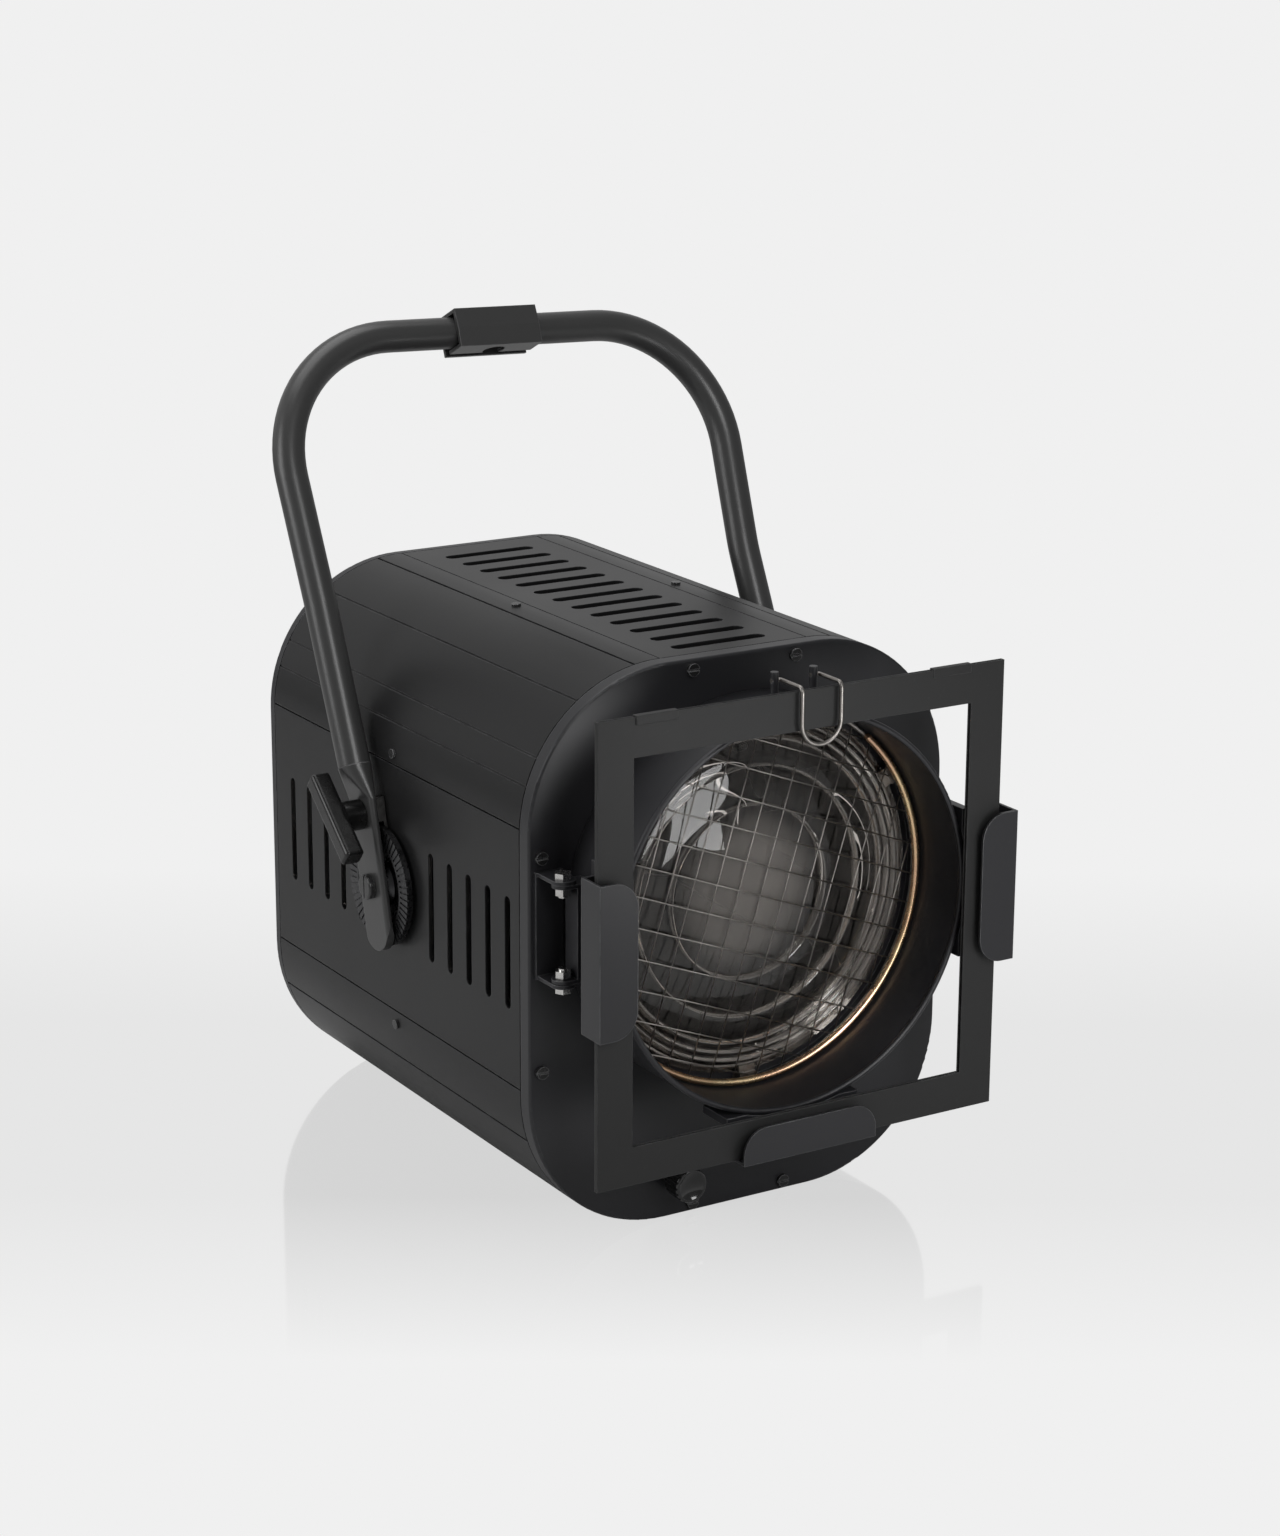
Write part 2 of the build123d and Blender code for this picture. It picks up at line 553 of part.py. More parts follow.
def wire_guard():
    """Welded wire grid in a flat rim; the rows lie in front of the columns."""
    rim_r = RING_RADIUS + 2.0
    rim = rod_y(rim_r, GUARD_Y - GUARD_RIM, GUARD_Y + GUARD_RIM, 0, 0)
    solids = [rim - rod_y(rim_r - 3, GUARD_Y - 3, GUARD_Y + 3, 0, 0)]
    lap = WIRE * 0.45
    rows = (ROW_PITCH, ROW_SHIFT, ROW_TURN - 90, GUARD_Y - lap)
    columns = (COLUMN_PITCH, COLUMN_SHIFT, COLUMN_TURN, GUARD_Y + lap)
    for pitch, shift, turn, y in (rows, columns):
        count = int((rim_r - 6) / pitch)
        for i in range(-count, count + 1):
            offset = i * pitch + shift
            half = (rim_r ** 2 - offset ** 2) ** 0.5 - 1.0
            solids.append(Rot(0, turn, 0) * Pos(offset, y, 0) * Cylinder(WIRE / 2, 2 * half))
    return Pos(0, 0, OPTIC_Z) * join(solids)


def lens_clips():
    """Three hooked clips that hold the lens against its seat."""
    clips = []
    inside = DOOR_RADIUS - DOOR_WALL
    bore = rod_y(inside - 0.02, -200, -140, 0, 0)
    edge = LENS_BACK - LENS_EDGE
    for i in range(3):
        post = block(LENS_RADIUS + 0.3, inside, GUARD_Y + GUARD_RIM + 0.1, LENS_BACK - 0.02, -5, 5)
        hook = block(LENS_RADIUS - 3.5, inside, edge - 1.9, edge - 0.3, -5, 5)
        clips.append(Pos(0, 0, OPTIC_Z) * Rot(0, 90 + 120 * i, 0) * ((post + hook) & bore))
    return clips


def runner(wall_x, lip_width):
    """Colour-frame runner, opening towards -X: back web, side wall and front lip."""
    half = RUNNER_LENGTH / 2
    wall = block(wall_x, wall_x + RUNNER_SHEET, RUNNER_FRONT, RUNNER_BACK, -half, half)
    lip_face = Pos(-lip_width / 2, 0) * Rectangle(lip_width, RUNNER_LENGTH)
    lip_face = fillet(lip_face.vertices().group_by(Axis.X)[0], 14)
    outer = wall_x + RUNNER_SHEET
    lip_plane = Plane(origin=(outer, RUNNER_FRONT + RUNNER_SHEET, 0), x_dir=(1, 0, 0), z_dir=(0, -1, 0))
    lip = extrude(lip_plane * lip_face, RUNNER_SHEET)
    inner = DOOR_RADIUS - 3
    back = RUNNER_BACK - RUNNER_SHEET
    web = block(inner, outer, back, RUNNER_BACK, -half, half)
    foot = block(inner, DOOR_RADIUS + RUNNER_SHEET, back, RUNNER_BACK + 22, -half, half)
    drum = rod_y(DOOR_RADIUS + 0.9, RUNNER_FRONT - 5, DOOR_BACK, 0, 0)
    return wall + lip + (web + foot - drum)


def placed_runner(turn, wall_x, lip_width):
    return Pos(0, 0, OPTIC_Z) * Rot(0, turn, 0) * runner(wall_x, lip_width)


save("lens_door_ring", door_ring())
save("fresnel_lens", fresnel_lens())
save("lens_retaining_ring", retaining_ring())
save("wire_guard", wire_guard())
save("lens_clips", *lens_clips())
save("right_frame_runner", placed_runner(0, SIDE_RUNNER_GAP, SIDE_LIP))
save("lower_frame_runner", placed_runner(90, LOWER_RUNNER_GAP, LOWER_LIP))
save("left_frame_runner", placed_runner(180, SIDE_RUNNER_GAP, SIDE_LIP))


# ---------------------------------------------------------------- door hinge and catch
LUG_LOW = (149.0, 151.0)
LUG_HIGH = (204.0, 206.0)
LEAF_LOW = (151.2, 153.2)
LEAF_HIGH = (201.8, 203.8)


def hinge_bracket():
    """U bracket on the front plate."""
    back = block(-125, -109, BODY_FRONT - 2, BODY_FRONT, LUG_LOW[0], LUG_HIGH[1])
    lugs = []
    for z0, z1 in (LUG_LOW, LUG_HIGH):
        lug = block(-124, -111, HINGE_Y, BODY_FRONT, z0, z1) + rod_z(6.5, z0, z1, HINGE_X, HINGE_Y)
        lugs.append(lug)
    bracket = join([back] + lugs)
    bracket = bracket - rod_z(2.5, LUG_LOW[0] - 1, LUG_HIGH[1] + 1, HINGE_X, HINGE_Y)
    drum = rod_y(DOOR_RADIUS + 0.8, -180, BODY_FRONT, 0, OPTIC_Z)
    return bracket - drum


def door_hinge_leaf():
    """Leaf on the door tube, with a lug inside each lug of the bracket."""
    web = block(-112.5, -100, HINGE_Y - 6, HINGE_Y + 6, LEAF_LOW[0], LEAF_HIGH[1])
    leaf = web
    for z0, z1 in (LEAF_LOW, LEAF_HIGH):
        lug = block(HINGE_X, -100, HINGE_Y - 6, HINGE_Y + 6, z0, z1) + rod_z(6.0, z0, z1, HINGE_X, HINGE_Y)
        leaf = leaf + lug
    leaf = leaf - rod_z(2.5 + RUN, LEAF_LOW[0] - 1, LEAF_HIGH[1] + 1, HINGE_X, HINGE_Y)
    return leaf - rod_y(DOOR_RADIUS, -180, -140, 0, OPTIC_Z)


def hinge_bolts():
    low = hex_z(4.6, LUG_LOW[0] - 3.4, LUG_LOW[0], HINGE_X, HINGE_Y)
    low = low + rod_z(2.5, LUG_LOW[0] - 1, LEAF_LOW[1] + 5.5, HINGE_X, HINGE_Y)
    low = low + hex_z(4.4, LEAF_LOW[1] + 0.2, LEAF_LOW[1] + 4.2, HINGE_X, HINGE_Y)
    high = hex_z(4.6, LUG_HIGH[1], LUG_HIGH[1] + 3.4, HINGE_X, HINGE_Y)
    high = high + rod_z(2.5, LEAF_HIGH[0] - 5.5, LUG_HIGH[1] + 1, HINGE_X, HINGE_Y)
    high = high + hex_z(4.4, LEAF_HIGH[0] - 4.2, LEAF_HIGH[0] - 0.2, HINGE_X, HINGE_Y)
    return [low, high]


def door_catch():
    """Spring clip on the front plate; its two leaves grip the door's stud."""
    base = block(109.5, 124, BODY_FRONT - 1.2, BODY_FRONT, OPTIC_Z - 11, OPTIC_Z + 11)
    upper = block(111, 123, BODY_FRONT - 13, BODY_FRONT, OPTIC_Z + 3.4, OPTIC_Z + 4.4)
    lower = block(111, 123, BODY_FRONT - 13, BODY_FRONT, OPTIC_Z - 4.4, OPTIC_Z - 3.4)
    return base + upper + lower


def catch_stud():
    """Headed stud on the door tube."""
    arm = block(100, 120, BODY_FRONT - 16.5, BODY_FRONT - 15, OPTIC_Z - 8, OPTIC_Z + 8)
    pin = rod_y(3.0, BODY_FRONT - 16, BODY_FRONT - 4, 116, OPTIC_Z)
    return arm + pin - rod_y(DOOR_RADIUS, -180, -140, 0, OPTIC_Z)


save("hinge_bracket", hinge_bracket())
save("door_hinge_leaf", door_hinge_leaf())
save("hinge_bolts", *hinge_bolts())
save("door_catch", door_catch())
save("door_catch_stud", catch_stud())


# ---------------------------------------------------------------- colour frame and its retainer
def color_frame():
    """Folded sheet frame, open at the top between its two leaves."""
    half = FRAME_SIZE / 2
    window = half - FRAME_BAR
    leaf = 0.8
    y0 = FRAME_FRONT
    y1 = FRAME_FRONT + FRAME_THICK
    body = block(-half, half, y0, y1, -half, half)
    body = body - block(-window, window, y0 - 1, y1 + 1, -window, window)
    pocket = block(-half + 1, half - 1, y0 + leaf, y1 - leaf, -half + 1, half + 1)
    body = body - pocket
    tabs = []
    for x in (-89.0, 89.0):
        top = block(x - 12, x + 12, y0 - 0.7, y1, half, half + 0.8)
        turned_down = block(x - 12, x + 12, y0 - 0.7, y0, half - 4, half)
        tabs.append(top + turned_down)
    return Pos(FRAME_X, 0, FRAME_Z) * join([body] + tabs)


WIRE_R = 1.1
WIRE_BEND = 1.3
POST_R = 2.1
POSTS_X = (-11.6, 12.0)
POST_Y = -196.0
POST_TOP = 306.0
SWING_Z = 301.5
LEG_Y = FRAME_FRONT - 3.2
LEG_OFFSET = POST_R + WIRE_BEND + 0.1   # both ends of the wire enter their posts from the right
LOOP_BOTTOM = 271.0


def retainer_posts():
    """Two drilled posts on a saddle welded to the top of the door tube."""
    top = OPTIC_Z + DOOR_RADIUS
    saddle = block(POSTS_X[0] - 4, POSTS_X[1] + 4, POST_Y - 2.5, POST_Y + 4, top - 6, top + 2)
    whole = saddle
    for x in POSTS_X:
        whole = whole + rod_z(POST_R, top - 2, POST_TOP, x, POST_Y)
        whole = whole - rod_x(WIRE_R + RUN, x - 4, x + 4, POST_Y, SWING_Z)
    return whole - rod_y(DOOR_RADIUS, -230, -150, 0, OPTIC_Z)


def retainer_wire():
    """Spring-wire loop: hooks over the frame's top edge, swings back to release it."""
    left = POSTS_X[0] + LEG_OFFSET
    right = POSTS_X[1] + LEG_OFFSET
    bow = (right - left) / 2 - 0.05
    corners = [
        (POSTS_X[0] - POST_R, POST_Y, SWING_Z), (left, POST_Y, SWING_Z), (left, LEG_Y, SWING_Z),
        (left, LEG_Y, LOOP_BOTTOM), (right, LEG_Y, LOOP_BOTTOM), (right, LEG_Y, SWING_Z),
        (right, POST_Y, SWING_Z), (POSTS_X[1] - POST_R, POST_Y, SWING_Z)]
    path = FilletPolyline(*corners, radius=[WIRE_BEND, 2.6, bow, bow, 2.6, WIRE_BEND])
    start = Plane(origin=path @ 0, z_dir=path % 0)
    return sweep(start * Circle(WIRE_R), path=path)


save("color_frame", color_frame())
save("retainer_posts", retainer_posts())
save("retainer_wire", retainer_wire())


# ---------------------------------------------------------------- focus drive and lamp carriage
ROD_X = 62.0
ROD_Z = 23.0
ROD_R = 4.0
TRAY_Z = 31.0
SPINDLE_R = 4.0


def focus_knob():
    knob = rod_y(9.5, BODY_FRONT - 18, BODY_FRONT - 6, KNOB_X, KNOB_Z)
    knob = fillet(knob.faces().sort_by(Axis.Y)[0].edges(), 1.2)
    dish = Pos(KNOB_X, BODY_FRONT - 18 - 14.6, KNOB_Z) * Sphere(16.5)
    knob = knob - dish
    for i in range(18):
        flute = Pos(KNOB_X, BODY_FRONT - 12, KNOB_Z) * Rot(0, i * 20, 0) * Pos(9.9, 0, 0) * Rot(90, 0, 0)
        knob = knob - flute * Cylinder(0.9, 20)
    return knob - rod_y(SPINDLE_R - 1, BODY_FRONT - 12, BODY_FRONT, KNOB_X, KNOB_Z)


def focus_spindle():
    front = rod_y(SPINDLE_R - 1, BODY_FRONT - 12, BODY_FRONT + 6, KNOB_X, KNOB_Z)
    screw = rod_y(SPINDLE_R, BODY_FRONT + 6, BODY_REAR - 12, KNOB_X, KNOB_Z)
    tail = rod_y(SPINDLE_R - 1, BODY_REAR - 12, BODY_REAR - 4, KNOB_X, KNOB_Z)
    return front + screw + tail


def spindle_bush():
    hexagon = hex_y(7.5, BODY_FRONT - 4.5, BODY_FRONT, KNOB_X, KNOB_Z)
    barrel = rod_y(4.95, BODY_FRONT - 1, BODY_FRONT + 5, KNOB_X, KNOB_Z)
    return hexagon + barrel - rod_y(SPINDLE_R - 1 + RUN, BODY_FRONT - 9, BODY_FRONT + 9, KNOB_X, KNOB_Z)


def rod_bearer(y0):
    """Cross-bar that carries the guide rods and the spindle."""
    bar = block(-72, 72, y0, y0 + 5, 11, 30.5)
    bar = bar - rod_y(ROD_R, y0 - 1, y0 + 6, -ROD_X, ROD_Z) - rod_y(ROD_R, y0 - 1, y0 + 6, ROD_X, ROD_Z)
    foot = block(-38, 38, y0, y0 + 5, WALL, 11)
    return bar + foot


def front_bearer():
    y0 = SHELL_FRONT + 14
    return rod_bearer(y0) - rod_y(SPINDLE_R + RUN, y0 - 1, y0 + 6, KNOB_X, KNOB_Z)


def rear_bearer():
    y0 = SHELL_REAR - 19
    return rod_bearer(y0) - rod_y(SPINDLE_R + RUN, y0 - 1, y0 + 6, KNOB_X, KNOB_Z)


def guide_rods():
    y0 = SHELL_FRONT + 14
    y1 = SHELL_REAR - 14
    return [rod_y(ROD_R, y0, y1, x, ROD_Z) for x in (-ROD_X, ROD_X)]


def carriage_tray():
    """Sheet tray with four bushed feet that slide on the rods."""
    tray = block(-74, 74, CARRIAGE_FRONT, CARRIAGE_REAR, TRAY_Z, TRAY_Z + 2)
    for x in (-ROD_X, ROD_X):
        for y in (CARRIAGE_FRONT + 8, CARRIAGE_REAR - 8):
            foot = block(x - 7, x + 7, y - 7, y + 7, ROD_Z - 7, TRAY_Z + 0.5)
            tray = tray + (foot - rod_y(ROD_R + RUN, y - 9, y + 9, x, ROD_Z))
    return tray


def spindle_nut():
    nut = block(KNOB_X - 9, KNOB_X + 9, -8, 10, KNOB_Z - 8, TRAY_Z)
    return nut - rod_y(SPINDLE_R + RUN, -20, 20, KNOB_X, KNOB_Z)


LAMP_BASE_Z = OPTIC_Z - 70.0


def lampholder():
    """Ceramic base on a steel pillar."""
    pillar = block(-22, 22, -14, 14, TRAY_Z + 2, LAMP_BASE_Z - 32)
    pillar = pillar - block(-19, 19, -15, 11, TRAY_Z + 4, LAMP_BASE_Z - 34)
    base = block(-27, 27, -17, 17, LAMP_BASE_Z - 32, LAMP_BASE_Z - 0.3)
    base = fillet(base.edges().filter_by(Axis.Z), 6)
    for x in (-8, 8):
        base = base - rod_z(3.0, LAMP_BASE_Z - 22, LAMP_BASE_Z + 1, x, 0)
    return pillar + base


def lamp():
    """Double-pin halogen lamp: ceramic foot, pins and quartz bulb."""
    foot = block(-17, 17, -9, 9, LAMP_BASE_Z, LAMP_BASE_Z + 24)
    foot = fillet(foot.edges().filter_by(Axis.Z), 4)
    pins = join([rod_z(2.9, LAMP_BASE_Z - 20, LAMP_BASE_Z + 1, x, 0) for x in (-8, 8)])
    bulb = rod_z(15.0, LAMP_BASE_Z + 23, LAMP_BASE_Z + 108, 0, 0)
    bulb = fillet(bulb.faces().sort_by(Axis.Z)[-1].edges(), 14.0)
    tip = rod_z(2.5, LAMP_BASE_Z + 106, LAMP_BASE_Z + 113, 0, 0)
    return foot + pins + bulb + tip


REFLECTOR_R = 72.0
REFLECTOR_FRONT = 38.0


def reflector():
    """Spherical mirror behind the lamp, centred on the filament."""
    shell = Sphere(REFLECTOR_R) - Sphere(REFLECTOR_R - 2)
    half = REFLECTOR_R + 5
    return Pos(0, 0, OPTIC_Z) * (shell & block(-half, half, REFLECTOR_FRONT, half, -half, half))


def reflector_stay():
    """Steel strip from the tray up to the back edge of the mirror."""
    strip = block(-12, 12, CARRIAGE_REAR - 2, CARRIAGE_REAR, TRAY_Z + 2, OPTIC_Z - 52)
    tab = block(-12, 12, CARRIAGE_REAR - 2, CARRIAGE_REAR + 7, OPTIC_Z - 62, OPTIC_Z - 50)
    return strip + tab - Pos(0, 0, OPTIC_Z) * Sphere(REFLECTOR_R)


def top_baffle():
    """Light baffle hung under the top slots."""
    plate = block(-38, 38, -118, 118, 287.0, 288.5)
    hangers = []
    for x in (-35.5, 34.0):
        for y in (-104.0, 92.0):
            hangers.append(block(x, x + 1.5, y, y + 12, 288, BODY_HEIGHT - WALL))
    return join([plate] + hangers)


def terminal_block():
    """Ceramic three-way terminal block."""
    body = block(-21, 21, 94, 110, WALL, 15)
    for x in (-14, 0, 14):
        body = body - rod_y(2.0, 90, 115, x, 8) - rod_z(2.4, 8, 20, x, 102)
    return body


def earth_stud():
    stud = rod_z(2.5, WALL, 17, 33, 102)
    return stud + hex_z(4.6, WALL, WALL + 4, 33, 102)


def cable_gland():
    flange = hex_y(12, BODY_REAR, BODY_REAR + 6, GLAND_X, GLAND_Z)
    thread = rod_y(7.9, BODY_REAR - 9, BODY_REAR + 1, GLAND_X, GLAND_Z)
    cap = rod_y(10.5, BODY_REAR + 6, BODY_REAR + 17, GLAND_X, GLAND_Z)
    cap = fillet(cap.faces().sort_by(Axis.Y)[-1].edges(), 3.0)
    return flange + thread + cap - rod_y(CABLE_RADIUS, BODY_REAR - 10, BODY_REAR + 20, GLAND_X, GLAND_Z)


def gland_nut():
    y0 = BODY_REAR - PLATE_SHEET - 4
    nut = hex_y(12, y0, y0 + 4, GLAND_X, GLAND_Z)
    return nut - rod_y(7.95, y0 - 1, BODY_REAR, GLAND_X, GLAND_Z)


save("focus_knob", focus_knob())
save("focus_spindle", focus_spindle())
save("spindle_bush", spindle_bush())
save("front_rod_bearer", front_bearer())
save("rear_rod_bearer", rear_bearer())
save("guide_rods", *guide_rods())
save("carriage_tray", carriage_tray())
save("spindle_nut", spindle_nut())
save("lampholder", lampholder())
save("lamp", lamp())
save("reflector", reflector())
save("reflector_stay", reflector_stay())
save("top_baffle", top_baffle())
save("terminal_block", terminal_block())
save("earth_stud", earth_stud())
save("cable_gland", cable_gland())
save("gland_nut", gland_nut())
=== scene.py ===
import json
import math

import bmesh
import bpy
from mathutils import Matrix, Vector


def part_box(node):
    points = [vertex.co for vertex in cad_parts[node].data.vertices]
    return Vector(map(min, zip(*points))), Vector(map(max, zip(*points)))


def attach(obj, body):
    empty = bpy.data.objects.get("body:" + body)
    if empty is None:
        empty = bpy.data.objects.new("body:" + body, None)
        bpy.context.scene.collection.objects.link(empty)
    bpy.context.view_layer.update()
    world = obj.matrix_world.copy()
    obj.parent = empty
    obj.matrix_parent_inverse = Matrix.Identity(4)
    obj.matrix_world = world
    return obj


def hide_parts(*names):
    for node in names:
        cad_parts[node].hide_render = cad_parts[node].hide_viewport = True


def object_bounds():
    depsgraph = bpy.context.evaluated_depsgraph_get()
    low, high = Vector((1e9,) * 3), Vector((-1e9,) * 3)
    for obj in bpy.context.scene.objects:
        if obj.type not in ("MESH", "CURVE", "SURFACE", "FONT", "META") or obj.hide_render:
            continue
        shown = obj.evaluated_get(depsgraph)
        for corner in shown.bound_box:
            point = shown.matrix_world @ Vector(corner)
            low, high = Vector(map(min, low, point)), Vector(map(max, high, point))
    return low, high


# Fresnel spotlight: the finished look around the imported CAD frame.
# Metres, +Z up, the lens looks along -Y. Lens sizes are in millimetres where it is said.
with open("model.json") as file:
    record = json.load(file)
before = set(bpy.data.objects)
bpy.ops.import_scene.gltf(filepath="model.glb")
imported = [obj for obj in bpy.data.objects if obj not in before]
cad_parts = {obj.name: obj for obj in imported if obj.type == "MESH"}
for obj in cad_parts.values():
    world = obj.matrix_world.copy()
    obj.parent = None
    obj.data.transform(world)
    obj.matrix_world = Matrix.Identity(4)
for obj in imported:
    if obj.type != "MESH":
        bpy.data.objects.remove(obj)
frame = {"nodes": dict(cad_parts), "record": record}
CAD_BOX = [list(corner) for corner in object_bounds()]
MM = 0.001

# ---------------------------------------------------------------- lens and guard sizes
LENS_LOW, LENS_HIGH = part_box("fresnel_lens")
OPTIC = Vector(((LENS_LOW.x + LENS_HIGH.x) / 2, 0, (LENS_LOW.z + LENS_HIGH.z) / 2))
LENS_STEPS = (96.0, 92.0, 87.5, 82.5, 68.0, 47.0)       # mm, outer radius of each prism and of the middle
LENS_RIM = 99.8                                         # mm, radius of the lens
LENS_EDGE = 3.5                                         # mm, thickness between the steps
PRISM_RISE = 3.0                                        # mm, height of a prism at its crest
STEP_LEAN = 0.8                                         # mm that a step leans outwards from its foot
STEP_ROUND = 0.3                                        # mm, rounding beside the crest
PRISM_PARTS = 8                                         # straight parts that make a prism's curve
LATHE_PARTS = 192
SHARP_ANGLE = math.radians(25)                          # edges of the glass that turn more are sharp

# pitch, shift of the middle wire, turn in the guard's plane (degrees), side (-1 front, 1 back)
GUARD_ROWS = (0.01575, -0.00025, -69.0, -1)
GUARD_COLUMNS = (0.0144, 0.00575, 17.3, 1)
GRID_WIRE = 0.0004                                      # radius of a grid wire
GRID_LAP = 0.9                                          # share of that radius between a wire and mid-plane
GRID_MARGIN = 0.006                                     # no wire runs closer to the rim's side than this
GRID_END = 0.001                                        # wires stop this far inside the rim's outside
RIM_WIRE = 0.0013                                       # radius of the rolled rim
RIM_INSET = 0.0014                                      # from the rim's outside to its centreline
WIRE_SIDES = 8
RIM_SIDES = 12
RIM_PARTS = 160


# ---------------------------------------------------------------- node helpers
MIX_FACTOR, MIX_FIRST, MIX_SECOND, MIX_RESULT = 0, 6, 7, 2      # sockets of a colour mix node


class Nodes:
    """A material's node tree, with short calls to add and link nodes."""

    def __init__(self, name):
        self.material = bpy.data.materials.new(name)
        self.material.use_nodes = True
        self.tree = self.material.node_tree
        self.shader = self.tree.nodes["Principled BSDF"]
        self.place = self.add("ShaderNodeTexCoord").outputs["Object"]

    def add(self, kind, **settings):
        node = self.tree.nodes.new(kind)
        for key, value in settings.items():
            setattr(node, key, value)
        return node

    def link(self, source, target):
        self.tree.links.new(source, target)

    def drive(self, source, name):
        """Links a node to an input of the main shader."""
        self.link(source, self.shader.inputs[name])

    def noise(self, scale, detail=4.0, rough=0.55):
        """Noise with its scale in features per metre."""
        node = self.add("ShaderNodeTexNoise")
        node.inputs["Scale"].default_value = scale
        node.inputs["Detail"].default_value = detail
        node.inputs["Roughness"].default_value = rough
        self.link(self.place, node.inputs["Vector"])
        return node.outputs["Fac"]

    def ramp(self, source, stops):
        node = self.add("ShaderNodeValToRGB")
        elements = node.color_ramp.elements
        while len(elements) < len(stops):
            elements.new(0.5)
        for element, (place, color) in zip(elements, stops):
            element.position = place
            element.color = (*color, 1)
        self.link(source, node.inputs["Fac"])
        return node.outputs["Color"]

    def remap(self, source, low, high, start=0.3, end=0.7):
        node = self.add("ShaderNodeMapRange")
        node.inputs["From Min"].default_value = start
        node.inputs["From Max"].default_value = end
        node.inputs["To Min"].default_value = low
        node.inputs["To Max"].default_value = high
        self.link(source, node.inputs["Value"])
        return node.outputs["Result"]

    def mix(self, factor, first, second):
        node = self.add("ShaderNodeMix", data_type="RGBA")
        self.link(factor, node.inputs[MIX_FACTOR])
        for socket, value in ((node.inputs[MIX_FIRST], first), (node.inputs[MIX_SECOND], second)):
            if isinstance(value, bpy.types.NodeSocket):
                self.link(value, socket)
            else:
                socket.default_value = (*value, 1)
        return node.outputs[MIX_RESULT]

    def times(self, first, second, clamp=False):
        node = self.add("ShaderNodeMath", operation="MULTIPLY", use_clamp=clamp)
        self.link(first, node.inputs[0])
        self.link(second, node.inputs[1])
        return node.outputs[0]

    def vector(self, operation, first, second):
        """Vector maths between a node and fixed numbers."""
        node = self.add("ShaderNodeVectorMath", operation=operation)
        self.link(first, node.inputs[0])
        node.inputs[1].default_value = second
        return node

    def bump(self, height, strength, distance, normal=None):
        node = self.add("ShaderNodeBump")
        node.inputs["Strength"].default_value = strength
        node.inputs["Distance"].default_value = distance
        self.link(height, node.inputs["Height"])
        if normal:
            self.link(normal, node.inputs["Normal"])
        return node.outputs["Normal"]

    def rounded(self, radius):
        """Normal of slightly rounded edges, and how far it turns there: 0 on flats, 1 on edges."""
        bevel = self.add("ShaderNodeBevel", samples=4)
        bevel.inputs["Radius"].default_value = radius
        compare = self.add("ShaderNodeVectorMath", operation="DOT_PRODUCT")
        self.link(bevel.outputs[0], compare.inputs[0])
        self.link(self.add("ShaderNodeNewGeometry").outputs["Normal"], compare.inputs[1])
        return bevel.outputs[0], self.remap(compare.outputs["Value"], 1.0, 0.0, 0.86, 0.995)


def grey(value, tint=(1.0, 1.0, 1.0)):
    return tuple(value * channel for channel in tint)


# ---------------------------------------------------------------- materials
DUST = (0.20, 0.20, 0.20)
EDGE_WEAR_AND_HIGHLIGHT = (0.42, 0.42, 0.43)          # bare metal where the coat has worn off an edge, and a painted highlight along the bright bends of the sheet
EDGE_ROUNDING = 0.0007                   # radius of the edges' rounding
ORANGE_PEEL = 0.18
STEEL_STAIN = 0.30                   # how much darker the stained patches are

# place in the noise, colour: straw, copper, brown and bare patches
HEAT_TINTS = (
    (0.30, (0.94, 0.82, 0.58)),
    (0.42, (0.95, 0.72, 0.42)),
    (0.52, (0.85, 0.55, 0.34)),
    (0.62, (0.60, 0.38, 0.28)),
    (0.72, (0.88, 0.82, 0.74)),
)

# share of clear glass by radius, where 1 is 100 mm: the middle, hazed by dust and as a painted pale glow of
# the lamp and mirror behind it, then a painted highlight line along each step
LENS_MIDDLE = ((0.0, 0.895), (0.30, 0.92), (0.42, 0.98))
STEP_HIGHLIGHT = ((-0.007, 0.995), (0.002, 0.74), (0.011, 0.995))
PER_TENTH_METRE = 10


def powder_coat(name, shade, rough, spec, edge, tint=(1, 1, 1), cloud=0.04):
    """Sprayed black coat: fine orange peel, faintly uneven gloss, settled dust, and edges lightened partly
    by wear and partly as a painted highlight of their bends.
    """
    n = Nodes(name)
    color = n.mix(n.noise(9, 3, 0.5), grey(shade * (1 - cloud), tint), grey(shade * (1 + cloud), tint))
    color = n.mix(n.remap(n.noise(420, 3, 0.7), 0.0, 0.06, 0.64, 0.8), color, DUST)
    round_normal, turned = n.rounded(EDGE_ROUNDING)
    # wear and painted highlight: a pale colour mixed onto the rounded edges
    wear_and_highlight = n.remap(n.noise(70, 4, 0.7), edge * 0.5, edge * 2, 0.4, 0.7)
    n.drive(n.mix(n.times(turned, wear_and_highlight), color, EDGE_WEAR_AND_HIGHLIGHT), "Base Color")
    n.drive(n.remap(n.noise(14, 3, 0.5), rough - 0.01, rough + 0.02), "Roughness")
    fine = n.bump(n.noise(1100, 2, 0.5), ORANGE_PEEL, 0.0001, round_normal)
    n.drive(n.bump(n.noise(140, 2, 0.5), ORANGE_PEEL * 0.15, 0.0002, fine), "Normal")
    n.shader.inputs["Specular IOR Level"].default_value = spec
    return n.material


def steel(name, color, rough, scratch=0.3):
    """Bare metal with fine scratches and faint stains."""
    n = Nodes(name)
    lines = n.noise(420, 4, 0.6)
    stained = tuple(channel * (1 - STEEL_STAIN) for channel in color)
    n.drive(n.mix(n.remap(n.noise(45, 4, 0.6), 0, 1), stained, color), "Base Color")
    n.drive(n.remap(lines, rough - 0.08, rough + 0.12), "Roughness")
    n.drive(n.bump(lines, scratch, 0.00008), "Normal")
    n.shader.inputs["Metallic"].default_value = 1.0
    return n.material


